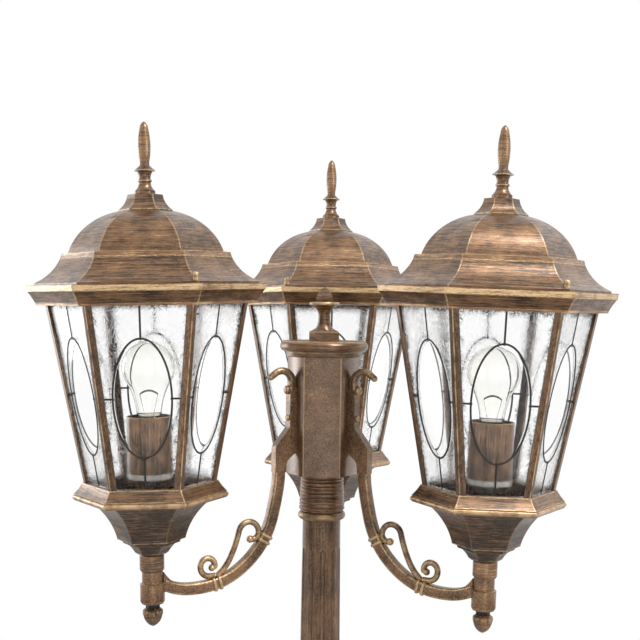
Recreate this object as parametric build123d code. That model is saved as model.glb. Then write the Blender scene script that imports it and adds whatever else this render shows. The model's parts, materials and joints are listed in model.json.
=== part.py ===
"""Triple head lamp post: a fluted post, a hexagonal hub and three S-curved arms, each carrying a
six-sided lantern. Millimetres, +Z up, origin on the post's axis at the ground.

The arms lie in upright planes through the post's axis. A lantern is modelled about its own axis with
one of its flat faces towards -Y, and heights on lanterns, arms and hub are measured from the tip of
the acorn nut under a lantern."""
import os
from math import cos, radians, sin, sqrt

from build123d import *

# ---- driving dimensions ----------------------------------------------------------------------
foot_height = 1600.0  # ground to the tip of the acorn nuts
arm_reach = 213.0  # post axis to the acorn nuts
arm_azimuths = {"left": 210.0, "right": 330.0, "rear": 90.0}
lantern_turns = {"left": 5.0, "right": 0.0, "rear": 3.5}  # how far each lantern is turned on its arm
lantern_lean = 1.7  # the arms splay the lanterns outwards a little
roof_screw_corners = {"left": (-60, 120), "right": (-60, 120), "rear": (-120, 60)}

flat = cos(radians(30))  # apothem of a hexagon over its circumradius

# heights of the joints along a lantern, from the acorn nut's tip
nut_top, boss_bottom, boss_top, collar_top = 21.2, 26.3, 62.5, 82.0
bowl_floor, bowl_top, rim_top = 101.5, 144.6, 164.0
holder_bottom, cover_bottom, cover_top = 168.0, 174.0, 237.7
soffit, roof_seat, roof_top, finial_tip = 362.0, 384.0, 483.0, 563.3
bulb_seat, bulb_top = 208.0, 321.3

# circumradii of the lantern's hexagons
rim_top_radius, rib_foot_radius, rib_head_radius = 75.8, 74.4, 112.2
cornice_radius, soffit_opening, cornice_bore = 133.0, 100.0, 112.0
roof_screw_radius = 118.0
rib_face, rib_wall, rib_ridge = 7.0, 3.2, 0.8
glass_thickness = 3.0
came_width, came_thickness = 2.2, 1.2
oval_height, oval_width = 130.0, 62.0

# round pieces of a lantern
tube_radius, tube_bore = 5.0, 3.3
boss_neck_radius, boss_radius, collar_radius, acorn_radius = 11.5, 13.8, 13.8, 11.5
lock_nut_flats, lock_nut_height = 14.0, 5.1
holder_radius, cover_radius, cover_wall = 19.5, 25.2, 1.5
cap_radius, bulb_radius, bulb_wall = 13.0, 29.5, 1.0

# hub and its cap
hub_radius, hub_bottom, hub_top, hub_bore = 43.7, 161.6, 302.0, 30.5
hub_face = hub_radius * flat
cap_plate_top, cap_disc_top = 308.0, 321.0
cap_plate_radius, cap_disc_radius = 45.6, 53.0
block_top, hub_finial_tip = 331.5, 385.4

# arms
arm_thickness, bar_depth, bar_axis = 11.6, 13.6, 58.5
arm_foot_depth, arm_foot_bottom, arm_foot_top = 9.3, 190.0, 264.0
hook_radius, hook_centre_height, hook_leaves, hook_tail = 13.3, 272.2, 54.0, 8.0
hook_tip_radius = 3.9
arm_screw_heads = {230.0: (3.6, 2.6), 263.0: (5.2, 5.0)}  # screw height: head radius and height
screw_radius, screw_grip = 2.4, 6.0
scroll_radius, scroll_knob, curl_knob = 3.5, 4.4, 4.1
ring_places, ring_lip, ring_width, ring_gap = (0.392, 0.719), 1.7, 3.6, 3.5

# post
spigot_radius, spigot_top, shaft_wall = 19.0, 171.6, 4.0
shaft_top, ring_top = 105.8, 118.5
shaft_top_radius, shaft_taper = 22.7, 0.007  # growth of the radius per millimetre downwards
flute_count, flute_radius, flute_depth, flute_turn = 10, 3.4, 1.8, 7.2
flute_top_gap, flute_foot_gap = 36.0, 22.0
knuckle_bottom, knuckle_top = 760.0, 805.0
base_height, flange_radius, flange_thickness = 150.0, 140.0, 10.0
bolt_circle, bolt_hole_radius, bolt_count = 118.0, 6.0, 4
lower_shaft_foot_radius, lower_shaft_head_radius = 42.0, 37.0


# ---- shape helpers ---------------------------------------------------------------------------
def chain(*steps):
    """An open run of edges. A step is a point, or a pair of points for an arc through the first."""
    edges, at = [], steps[0]
    for step in steps[1:]:
        if isinstance(step[0], tuple):
            edges.append(ThreePointArc(at, step[0], step[1]))
            at = step[1]
        else:
            edges.append(Line(at, step))
            at = step
    return edges


def turned(*steps):
    """Revolves a closed profile of (radius, height) points about Z."""
    edges = chain(*steps, steps[0])
    return revolve(make_face([Plane.XZ * e for e in edges]), Axis.Z)


def hexagonal(*steps):
    """A mitred six-sided moulding. The steps run from the axis out and back to it, as points of
    (apothem, height), and one face of the moulding looks towards -Y."""
    edges = [Plane.YZ * e for e in chain(*steps)]
    mirrored = [mirror(e, Plane.XZ) for e in edges]
    reach = 3 * max((s[1][0] if isinstance(s[0], tuple) else s[0]) for s in steps)
    bar = extrude(make_face(edges + mirrored), reach, both=True)
    return bar & (Rot(0, 0, 60) * bar) & (Rot(0, 0, 120) * bar)


def rod(edges, radius):
    """A round rod along a chain of tangent edges drawn in the XZ plane."""
    path = Wire(edges)
    section = Plane(origin=path @ 0, z_dir=path % 0) * Circle(radius)
    return sweep(section, path)


def arc_about(centre, radius, start, end):
    """A pair for chain(): the point halfway round the arc and the point at its end, in degrees."""
    half = radians((start + end) / 2)
    last = radians(end)
    return (
        (centre[0] + radius * cos(half), centre[1] + radius * sin(half)),
        (centre[0] + radius * cos(last), centre[1] + radius * sin(last)),
    )


def six(shape):
    return [Rot(0, 0, 60 * k) * shape for k in range(6)]


def upright(edges):
    """Turns edges drawn as (radius, height) into the XZ plane."""
    return [Plane.XZ * e for e in edges]


# ---- lantern, about its own axis -------------------------------------------------------------
def roof(screw_corners):
    outer = hexagonal(
        (0, roof_top),
        (17.0, roof_top),
        ((19.8, 473.6), (26.0, 466.2)),
        (26.0, 465.0),
        ((55.6, 449.8), (74.3, 419.8)),
        (80.8, 418.9),
        (82.1, 413.6),
        ((93.2, 396.4), (108.0, 386.2)),
        (108.0, roof_seat),
        (0, roof_seat),
    )
    below = roof_seat - 10
    inner = hexagonal(
        (0, 460.8),
        (23.6, 460.8),
        ((53.6, 447.0), (71.6, 419.0)),
        (78.2, 415.8),
        (79.4, 412.2),
        ((90.8, 394.4), (105.0, 385.0)),
        (105.0, below),
        (0, below),
    )
    shell = outer - inner
    for corner in screw_corners:
        boss = Cylinder(3.6, 8.5, align=(Align.CENTER, Align.CENTER, Align.MIN))
        shell += Rot(0, 0, corner) * Pos(roof_screw_radius, 0, roof_seat) * boss
        shell -= Rot(0, 0, corner) * Pos(roof_screw_radius, 0, roof_seat + 5) * Cylinder(2.0, 30)
    return shell - Pos(0, 0, roof_top) * Cylinder(4.0, 24)


def finial():
    """Flared foot, ringed waist, saucer and a slender bud."""
    seat = roof_top
    return turned(
        (0, seat - 12),
        (4.0, seat - 12),
        (4.0, seat),
        (11.4, seat),
        (11.4, seat + 4.0),
        ((7.8, seat + 8.4), (6.5, seat + 13.4)),
        (7.7, seat + 14.0),
        (7.7, seat + 16.0),
        (6.5, seat + 17.0),
        ((6.9, seat + 21.6), (8.6, seat + 25.4)),
        (11.7, seat + 26.0),
        (11.7, seat + 27.0),
        ((8.2, seat + 29.6), (5.3, seat + 32.4)),
        (5.3, seat + 36.1),
        ((6.9, seat + 51.0), (4.9, seat + 72.5)),
        ((3.3, finial_tip - 2.6), (0.8, finial_tip)),
        (0, finial_tip),
    )


def roof_screws(corners):
    """Two cap screws down through the roof's corner bosses into the cornice."""
    top = roof_seat + 8.5
    one = turned(
        (0, top - 20),
        (2.0, top - 20),
        (2.0, top),
        (3.4, top),
        (3.4, top + 2.0),
        ((2.6, top + 3.0), (1.2, top + 3.6)),
        (0, top + 3.6),
    )
    return [Rot(0, 0, corner) * Pos(roof_screw_radius, 0, 0) * one for corner in corners]


def cornice(screw_corners):
    outer = hexagonal(
        (0, roof_seat),
        (cornice_radius * flat, roof_seat),
        (114.3, 377.4),
        (113.4, 376.8),
        ((109.0, 369.6), (106.0, soffit + 1.2)),
        (106.0, soffit),
        (0, soffit),
    )
    lip = soffit + 4
    inner = hexagonal(
        (0, roof_seat + 5),
        (cornice_bore * flat, roof_seat + 5),
        (cornice_bore * flat, lip),
        (soffit_opening * flat, lip),
        (soffit_opening * flat, soffit - 5),
        (0, soffit - 5),
    )
    ring = outer - inner
    for corner in screw_corners:
        ring -= Rot(0, 0, corner) * Pos(roof_screw_radius, 0, roof_seat) * Cylinder(2.4, 24)
    return ring


def rib_section(radius, height):
    """The V-section of a glazing bar whose ridge stands on a corner of the hexagon."""
    along, across = (-0.5, flat), (-flat, -0.5)
    half = [
        (rib_ridge * along[0], rib_ridge * along[1]),
        (rib_face * along[0], rib_face * along[1]),
        (rib_face * along[0] + rib_wall * across[0], rib_face * along[1] + rib_wall * across[1]),
    ]
    inner = (-rib_wall / flat, 0)
    points = half + [inner] + [(x, -y) for x, y in reversed(half)]
    return Pos(radius, 0, height) * make_face(Polyline(*points, close=True))


def ribs():
    bar = loft([rib_section(rib_foot_radius, rim_top), rib_section(rib_head_radius, soffit)], ruled=True)
    return six(bar)


def pane_plane():
    """The outer face of the pane that looks towards -Y: x to the right, y up the slope."""
    lean = (rib_head_radius - rib_foot_radius) * flat / (soffit - rim_top)
    foot = rib_foot_radius * flat - rib_wall - 0.1
    up = Vector(0, -lean, 1).normalized()
    return Plane(origin=(0, -foot, rim_top), x_dir=(1, 0, 0), z_dir=Vector(1, 0, 0).cross(up))


def pane_size():
    """Half widths of a pane at its foot and head, and its height up the slope."""
    lean = (rib_head_radius - rib_foot_radius) * flat / (soffit - rim_top)
    gap = (rib_wall + 0.1 + glass_thickness) / flat + 0.4
    height = (soffit - rim_top) * sqrt(1 + lean**2)
    return (rib_foot_radius - gap) / 2, (rib_head_radius - gap) / 2, height


def glass_panes():
    foot, head, height = pane_size()
    outline = Polyline((-foot, 0.3), (foot, 0.3), (head, height - 0.6), (-head, height - 0.6), close=True)
    pane = extrude(pane_plane() * make_face(outline), -glass_thickness)
    return six(pane)


def cames():
    """The leading on each pane: an oval held by four struts."""
    foot, head, height = pane_size()
    middle = 0.5 * height
    side = foot + (head - foot) * middle / height - 3.4
    oval = Ellipse(oval_width / 2, oval_height / 2)
    oval -= Ellipse(oval_width / 2 - came_width, oval_height / 2 - came_width)
    rise = oval_height / 2 - came_width / 2
    reach = oval_width / 2 - came_width / 2
    top = height - middle - rise - 1.0
    bottom = middle - rise - 0.6
    struts = Pos(0, rise + top / 2) * Rectangle(came_width, top)
    struts += Pos(0, -rise - bottom / 2) * Rectangle(came_width, bottom)
    for hand in (-1, 1):
        struts += Pos(hand * (reach + side) / 2, 0) * Rectangle(side - reach, came_width)
    leading = extrude(pane_plane() * Pos(0, middle) * (oval + struts), came_thickness)
    return six(leading)


def lower_rim():
    outer = hexagonal(
        (0, rim_top),
        (rim_top_radius * flat, rim_top),
        ((69.5, 157.3), (74.0, 151.6)),
        (73.1, 150.8),
        ((75.3, 147.9), (73.6, 145.4)),
        (73.6, bowl_top),
        (0, bowl_top),
    )
    hole = hexagonal((0, rim_top + 5), (52.0, rim_top + 5), (52.0, bowl_top - 5), (0, bowl_top - 5))
    return outer - hole


def bowl():
    outer = hexagonal(
        (0, bowl_top),
        (61.0, bowl_top),
        ((42.6, 123.9), (33.2, 100.4)),
        (33.2, 99.4),
        (28.4, 98.0),
        (27.4, 95.0),
        (23.4, 94.0),
        ((18.8, 88.4), (16.4, 84.2)),
        (13.6, collar_top),
        (0, collar_top),
    )
    inner = hexagonal(
        (0, bowl_top + 5),
        (52.0, bowl_top + 5),
        (52.0, 139.8),
        ((39.4, 122.4), (30.6, bowl_floor)),
        (0, bowl_floor),
    )
    return outer - inner - Pos(0, 0, collar_top) * Cylinder(tube_radius, 60)


def collar():
    return turned(
        (tube_radius, boss_top),
        (collar_radius - 1.6, boss_top),
        (collar_radius, boss_top + 2.4),
        (collar_radius, collar_top - 1.4),
        (collar_radius - 1.0, collar_top),
        (tube_radius, collar_top),
    )


def lamp_tube():
    """The hollow threaded rod that clamps nut, arm, collar and bowl and carries the lamp holder."""
    bottom, top = 8.0, cover_bottom - 1.0
    return turned((tube_bore, bottom), (tube_radius, bottom), (tube_radius, top), (tube_bore, top))


def lock_nuts():
    """Two lamp nuts on the tube, one under the arm's boss and one on the bowl's floor."""
    nut = extrude(RegularPolygon(lock_nut_flats / 2, 6, major_radius=False), lock_nut_height)
    nut -= Cylinder(tube_radius, 40)
    return [Pos(0, 0, nut_top) * nut, Pos(0, 0, bowl_floor) * nut]


def acorn_nut():
    """Domed nut with eight grooves for the fingers."""
    body = turned(
        (0, 0),
        ((6.4, 4.0), (10.5, 12.2)),
        ((11.4, 15.4), (acorn_radius - 0.4, nut_top - 2.4)),
        (8.0, nut_top),
        (0, nut_top),
    )
    body -= Pos(0, 0, 8) * Cylinder(tube_radius, 30, align=(Align.CENTER, Align.CENTER, Align.MIN))
    groove = Pos(acorn_radius + 0.6, 0, 12) * Rot(0, 0, 45) * Box(1.7, 1.7, 30)
    for k in range(8):
        body -= Rot(0, 0, 22.5 + 45 * k) * groove
    return body


def lampholder():
    """Ceramic holder on its disc; the socket is open upwards for the bulb's cap."""
    return turned(
        (0, cover_bottom - 1.0),
        (tube_radius, cover_bottom - 1.0),
        (tube_radius, holder_bottom),
        (cover_radius - 0.4, holder_bottom),
        (cover_radius - 0.4, cover_bottom),
        (holder_radius, cover_bottom),
        (holder_radius, bulb_seat + 20.5),
        (holder_radius - 2.1, bulb_seat + 23.5),
        (cap_radius + 1.2, bulb_seat + 23.5),
        (cap_radius + 1.2, bulb_seat),
        (0, bulb_seat),
    )


def socket_cover():
    inside = cover_radius - cover_wall
    return turned(
        (inside, cover_bottom),
        (cover_radius, cover_bottom),
        (cover_radius, cover_top - 0.8),
        (cover_radius - 0.8, cover_top),
        (inside, cover_top),
    )


def bulb_cap():
    """The screw cap with its rolled thread and centre contact."""
    bottom, pitch, turns = bulb_seat + 3.0, 3.6, 5
    steps = [(0, bulb_seat), (4.5, bulb_seat), (8.0, bottom), (12.0, bottom)]
    for k in range(turns):
        low = bottom + pitch * k
        steps.append(((cap_radius + 0.4, low + pitch / 2), (12.0, low + pitch)))
    rim = bottom + pitch * turns
    steps += [(cap_radius, rim + 2.0), (cap_radius, bulb_seat + 30.5), (0, bulb_seat + 30.5)]
    return turned(*steps)


def bulb_glass():
    """A clear pear-shaped bulb, blown thin: outside and inside profiles a wall apart."""
    foot, centre = bulb_seat + 30.5, bulb_top - bulb_radius
    shoulder = centre - 15.5
    profiles = []
    for gap in (0, bulb_wall):
        ball = bulb_radius - gap
        high = 20.0
        profiles.append(
            (
                (14.0 - gap, foot + 2),
                (17.2 - gap, foot + 19.5),
                (sqrt(ball**2 - (centre - shoulder) ** 2), shoulder),
                (ball, centre),
                (high, centre + sqrt(ball**2 - high**2)),
                (8.0, centre + sqrt(ball**2 - 8.0**2)),
                (0, centre + ball),
            )
        )
    out, inn = profiles
    return turned(
        (12.2, foot),
        (cap_radius + 0.6, foot),
        out[0],
        (out[1], out[2]),
        (out[3], out[4]),
        (out[5], out[6]),
        inn[6],
        (inn[5], inn[4]),
        (inn[3], inn[2]),
        (inn[1], inn[0]),
    )


def filament():
    """The glass stem in the bulb with its two lead wires and the filament hung between them."""
    foot = bulb_seat + 30.5
    stem = turned(
        (0, foot), (9.0, foot), ((4.2, foot + 6), (3.2, foot + 18)), (2.2, foot + 30), (0, foot + 30)
    )
    wire, span = 0.45, 9.0
    for hand in (-1, 1):
        lead = Line((hand * 1.6, 0, foot + 26), (hand * span, 0, foot + 42))
        stem += sweep(Plane(origin=lead @ 0, z_dir=lead % 0) * RegularPolygon(wire, 6), lead)
    arch = ThreePointArc((-span, 0, foot + 41.6), (0, 0, foot + 46.5), (span, 0, foot + 41.6))
    return stem + sweep(Plane(origin=arch @ 0, z_dir=arch % 0) * RegularPolygon(wire, 6), arch)


# ---- hub, arms and post ----------------------------------------------------------------------
def hub():
    body = extrude(RegularPolygon(hub_radius, 6), hub_top - hub_bottom)
    body = chamfer(body.edges().filter_by(Axis.Z), 0.9)
    body = Pos(0, 0, hub_bottom) * body
    cavity = Pos(0, 0, spigot_top) * Cylinder(
        hub_bore, 200, align=(Align.CENTER, Align.CENTER, Align.MIN)
    )
    body -= cavity + Pos(0, 0, spigot_top) * Cylinder(spigot_radius, 60)
    for azimuth in arm_azimuths.values():
        for height in arm_screw_heads:
            hole = Pos(hub_face, 0, height) * Rot(0, 90, 0) * Cylinder(screw_radius, 2 * screw_grip)
            body -= Rot(0, 0, azimuth) * hole
    return body


def hub_cap():
    """A plate and a bullnosed disc closing the hub, with a lug that drops into it."""
    half = (cap_disc_top - cap_plate_top) / 2
    round_centre = cap_disc_radius - half
    return turned(
        (0, hub_top - 8),
        (hub_bore - 0.4, hub_top - 8),
        (hub_bore - 0.4, hub_top),
        (cap_plate_radius - 1, hub_top),
        (cap_plate_radius, hub_top + 1),
        (cap_plate_radius, cap_plate_top),
        (round_centre, cap_plate_top),
        ((cap_disc_radius, cap_plate_top + half), (round_centre, cap_disc_top)),
        (5.0, cap_disc_top),
        (5.0, cap_disc_top - 10),
        (0, cap_disc_top - 10),
    )


def hub_finial():
    """Square block set corner to the front, waisted neck, saucer and a four-petalled bud."""
    side = 17.9 * sqrt(2)
    block = Rot(0, 0, 45) * Box(side, side, block_top - cap_disc_top)
    block = Pos(0, 0, (block_top + cap_disc_top) / 2) * block
    neck = turned(
        (0, cap_disc_top - 10),
        (5.0, cap_disc_top - 10),
        (5.0, block_top - 1),
        (12.6, block_top - 1),
        (12.6, block_top),
        ((8.4, 339.6), (7.2, 348.2)),
        ((9.0, 357.4), (17.2, 363.4)),
        ((18.0, 365.4), (17.2, 367.2)),
        (7.0, 368.2),
        (0, 368.2),
    )
    shoulder = loft(
        [
            Pos(0, 0, block_top) * Rot(0, 0, 45) * Rectangle(side, side),
            Pos(0, 0, block_top + 4.5) * Rot(0, 0, 45) * Rectangle(14.0, 14.0),
        ]
    )
    petal = chain((0, hub_finial_tip), ((5.4, 378.0), (6.9, 370.4)), (6.2, 368.0), (0, 368.0))
    petal = [Plane.YZ * e for e in petal]
    bar = extrude(make_face(petal + [mirror(e, Plane.XZ) for e in petal]), 30, both=True)
    bud = Rot(0, 0, 45) * (bar & (Rot(0, 0, 90) * bar))
    return block + shoulder + neck + bud


def arm_path():
    """The centre line of the arm's curved bar, from the foot's shoulder to the lantern boss."""
    start = (bar_axis, 166.0)
    hip, waist, elbow = (63.3, 130.0), (71.5, 100.0), (86.0, 75.5)
    belly, low, rise, end = (109.0, 54.5), (133.0, 42.7), (168.0, 38.2), (202.4, 46.6)
    sweep_down = Spline(start, hip, waist, elbow, belly, low, rise, end, tangents=((0, -1), (0.91, 0.42)))
    return [Line((bar_axis, 180.0), start), sweep_down]


def bar_section(path, at, corner):
    """The bar's rounded rectangle, square to the path, with its depth in the arm's plane."""
    plane = Plane(origin=path @ at, x_dir=(0, 1, 0), z_dir=path % at)
    return plane * RectangleRounded(arm_thickness, bar_depth, corner)


def arm_rings(path, at):
    """A pair of cast bands round the bar, square to it."""
    rings = []
    for shift in (-ring_gap, ring_gap):
        plane = Plane(origin=(path @ at) + (path % at) * shift, x_dir=(0, 1, 0), z_dir=path % at)
        outline = RectangleRounded(arm_thickness + 2 * ring_lip, bar_depth + 2 * ring_lip, 4.2)
        band = extrude(outline, ring_width / 2, both=True)
        band = fillet(band.edges().group_by(Axis.Z)[0] + band.edges().group_by(Axis.Z)[-1], 1.2)
        rings.append(plane * band)
    return rings


def arm_foot():
    """The flat foot on the hub's face, with the shoulder below it."""
    inner, outer = hub_face, hub_face + arm_foot_depth
    bar_in, bar_out = bar_axis - bar_depth / 2, bar_axis + bar_depth / 2
    outline = chain(
        (inner, arm_foot_top),
        (inner, arm_foot_bottom),
        (bar_in - 1.2, 178.8),
        (bar_in, 166.0),
        (bar_out, 166.0),
        (bar_out, 196.5),
        (outer, 219.0),
        (outer, arm_foot_top),
        (inner, arm_foot_top),
    )
    face = make_face(outline)
    soft = [v for v in face.vertices() if round(v.Y, 3) in (178.8, 196.5, 219.0)]
    return extrude(Plane.XZ * fillet(soft, 8.0), arm_thickness / 2, both=True)


def arm_hook():
    """The rod that goes on from the foot, bends over outwards and thins to a round tip."""
    leg = hub_face + arm_foot_depth / 2
    centre = (leg + hook_radius, hook_centre_height)
    over = arc_about(centre, hook_radius, 180, hook_leaves)
    fall = radians(hook_leaves - 90)
    tail = (over[1][0] + hook_tail * cos(fall), over[1][1] + hook_tail * sin(fall))
    path = Wire(upright(chain((leg, arm_foot_top - 4), (leg, hook_centre_height), over, tail)))
    sections = []
    for at, depth, width, corner in (
        (0.0, arm_foot_depth, arm_thickness, 2.4),
        (0.3, arm_foot_depth - 0.4, arm_thickness - 1.0, 3.4),
        (1.0, 2 * hook_tip_radius, 2 * hook_tip_radius, 3.8),
    ):
        plane = Plane(origin=path @ at, x_dir=(0, 1, 0), z_dir=path % at)
        sections.append(plane * RectangleRounded(width, depth, corner))
    hook = sweep(sections, path=path, multisection=True)
    return hook + Plane.XZ * Pos(*tail) * Sphere(hook_tip_radius)


def scroll():
    """The two scrolls cast on the bar: a long S with a crook, and a short curl."""
    start, knee = (136.0, 49.5), (119.3, 69.8)
    crook, crook_radius, neck_angle = (96.3, 97.0), 12.6, 14
    inner_radius = 8.2
    inner_centre = (crook[0] - crook_radius + inner_radius, crook[1])
    over = arc_about(crook, crook_radius, neck_angle, 180)
    tail = arc_about(inner_centre, inner_radius, 180, 288)
    neck = arc_about(crook, crook_radius, 180, neck_angle)[1]
    stroke = [TangentArc(start, knee, tangent=(-0.8, 0.6))]
    stroke.append(TangentArc(knee, neck, tangent=stroke[-1] % 1))
    stroke.append(ThreePointArc(neck, *over))
    stroke.append(ThreePointArc(over[1], *tail))
    solid = rod(upright(stroke), scroll_radius)
    solid += Plane.XZ * Pos(*tail[1]) * Sphere(scroll_knob)

    low, side, rise = (145.4, 50.2), 156.6, 62.2
    sweep_radius, top_radius = 11.2, 8.9
    first = arc_about((low[0], low[1] + sweep_radius), sweep_radius, 270, 360)
    second = arc_about((side - top_radius, rise), top_radius, 0, 186)
    curl = chain((start[0] + 2, low[1]), low, first, (side, rise), second)
    solid += rod(upright(curl), scroll_radius)
    solid += Plane.XZ * Pos(*second[1]) * Sphere(scroll_radius)
    solid += Plane.XZ * Pos(side - 2 * top_radius + 3.6, rise - 2.4) * Sphere(curl_knob)
    return solid


def leaning(shape):
    """Stands a shape made about a lantern's axis at the end of an arm along +X."""
    return Pos(arm_reach, 0, 0) * Rot(0, lantern_lean, 0) * shape


def arm():
    path = Wire(upright(arm_path()))
    arm_body = arm_foot() + arm_hook() + sweep(bar_section(path, 0, 2.4), path)
    gusset = chain((176.5, 42.4), (202.4, 38.2), (202.4, 60.9), ((193.0, 50.4), (176.5, 42.4)))
    arm_body += extrude(Plane.XZ * make_face(gusset), arm_thickness / 2 - 0.8, both=True)
    arm_body += leaning(
        turned(
            (0, boss_bottom),
            (boss_radius - 1.6, boss_bottom),
            (boss_radius, boss_bottom + 2.6),
            (boss_radius, 48.4),
            (boss_radius - 0.8, 49.2),
            (boss_neck_radius, 49.6),
            (boss_neck_radius, boss_top),
            (0, boss_top),
        )
    )
    for place in ring_places:
        for ring in arm_rings(path, place):
            arm_body += ring
    arm_body += scroll()
    arm_body -= leaning(Cylinder(tube_radius, 400))
    for height in arm_screw_heads:
        arm_body -= Pos(hub_face, 0, height) * Rot(0, 90, 0) * Cylinder(screw_radius, 60)
    return arm_body


def arm_screw(head_radius, head_height):
    """A domed screw along +Z, its head standing on the arm's foot and its end in the hub's wall."""
    face = arm_foot_depth
    return turned(
        (0, -screw_grip),
        (screw_radius, -screw_grip),
        (screw_radius, face),
        (head_radius, face),
        (head_radius, face + 0.4 * head_height),
        ((0.86 * head_radius, face + 0.8 * head_height), (0.45 * head_radius, face + head_height)),
        (0, face + head_height),
    )


def arm_screws():
    screws = []
    for azimuth in arm_azimuths.values():
        for height, (head_radius, head_height) in arm_screw_heads.items():
            place = Rot(0, 0, azimuth) * Pos(hub_face, 0, height) * Rot(0, 90, 0)
            screws.append(place * arm_screw(head_radius, head_height))
    return screws


def grooved_collar():
    """The threaded coupling under the hub: fine ridges, slightly flared at the foot."""
    count = 10
    low, high = ring_top, hub_bottom
    pitch = (high - low) / count
    steps = [(spigot_radius, low), (26.4, low)]
    for k in range(count):
        crest = 27.4 - 0.2 * k
        steps.append((crest, low + pitch * (k + 0.3)))
        steps.append((crest, low + pitch * (k + 0.7)))
        steps.append((crest - 1.1, low + pitch * (k + 1)))
    steps.append((spigot_radius, high))
    return turned(*steps)


def neck_ring():
    """The half-round ring between the shaft and the coupling."""
    low, high = shaft_top, ring_top
    return turned(
        (spigot_radius, low),
        (23.4, low),
        (24.2, low + 1.2),
        ((28.5, low + 6.1), (24.6, low + 11.0)),
        (24.6, high),
        (spigot_radius, high),
    )


def fluted_shaft(low, low_radius, high, high_radius, top_gap, foot_gap):
    """A tapered round shaft with round-ended flutes cut along its taper."""
    shaft = turned((0, low), (low_radius, low), (high_radius, high), (0, high))
    lean = (low_radius - high_radius) / (high - low)
    start, end = low + foot_gap, high - top_gap

    def axis_point(height):
        surface = low_radius - lean * (height - low)
        return (surface + flute_radius - flute_depth, 0, height)

    path = Line(axis_point(start), axis_point(end))
    cutter = sweep(Plane(origin=path @ 0, z_dir=path % 0) * Circle(flute_radius), path)
    cutter += Pos(*(path @ 0)) * Sphere(flute_radius) + Pos(*(path @ 1)) * Sphere(flute_radius)
    for k in range(flute_count):
        shaft -= Rot(0, 0, 270 + flute_turn + 360 / flute_count * k) * cutter
    return shaft


def upper_shaft():
    high = foot_height + shaft_top
    low_radius = shaft_top_radius + shaft_taper * (high - knuckle_top)
    shaft = fluted_shaft(knuckle_top, low_radius, high, shaft_top_radius, flute_top_gap, flute_foot_gap)
    top = foot_height + spigot_top
    shaft += Pos(0, 0, (high + top) / 2) * Cylinder(spigot_radius, top - high)
    bore = Pos(0, 0, (knuckle_top + top) / 2) * Cylinder(spigot_radius - shaft_wall, top - knuckle_top + 2)
    return shaft - bore


def lower_shaft():
    shaft = fluted_shaft(
        base_height,
        lower_shaft_foot_radius,
        knuckle_bottom,
        lower_shaft_head_radius,
        flute_foot_gap,
        flute_foot_gap,
    )
    length = knuckle_bottom - base_height
    bore = Pos(0, 0, base_height + length / 2) * Cylinder(
        lower_shaft_head_radius - flute_depth - shaft_wall, length + 2
    )
    return shaft - bore


def knuckle():
    """The turned ring that joins the two shafts."""
    low, high = knuckle_bottom, knuckle_top
    low_radius, high_radius = lower_shaft_head_radius, 29.2
    bore = spigot_radius - shaft_wall
    return turned(
        (bore, low),
        (low_radius + 2, low),
        (low_radius + 2, low + 5),
        ((low_radius + 9.5, low + 13), (low_radius + 2, low + 21)),
        (low_radius - 1, low + 24),
        ((low_radius - 4.6, low + 32), (high_radius + 3.4, high - 5)),
        (high_radius + 3.4, high),
        (bore, high),
    )


def base():
    """The bell-shaped foot: a bolted flange, a cove and a socket for the shaft, hollow below."""
    wall = 6.0
    outer = [
        (0, 0),
        (flange_radius, 0),
        (flange_radius, flange_thickness - 3),
        (flange_radius - 3, flange_thickness),
        (104.0, flange_thickness),
        (104.0, flange_thickness + 6),
        ((99.0, 24.0), (93.0, 28.0)),
        ((66.0, 52.0), (57.0, 96.0)),
        (61.0, 98.0),
        ((64.0, 104.0), (61.0, 110.0)),
        (56.0, 112.0),
        ((50.0, 132.0), (46.0, base_height)),
        (0, base_height),
    ]
    inner = [
        (0, -5),
        (92.0, -5),
        (92.0, 16.0),
        ((60.0, 50.0), (50.0, 92.0)),
        (50.0 - wall, 112.0),
        (lower_shaft_head_radius - flute_depth - shaft_wall, base_height - wall),
        (lower_shaft_head_radius - flute_depth - shaft_wall, base_height + 5),
        (0, base_height + 5),
    ]
    body = turned(*outer) - turned(*inner)
    for k in range(bolt_count):
        body -= Rot(0, 0, 45 + 90 * k) * Pos(bolt_circle, 0, 0) * Cylinder(bolt_hole_radius, 60)
    return body


# ---- assembly --------------------------------------------------------------------------------
def lantern_place(side):
    azimuth = arm_azimuths[side]
    return raised(Rot(0, 0, azimuth) * leaning(Rot(0, 0, lantern_turns[side] - azimuth)))


def raised(shape):
    return Pos(0, 0, foot_height) * shape


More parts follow.
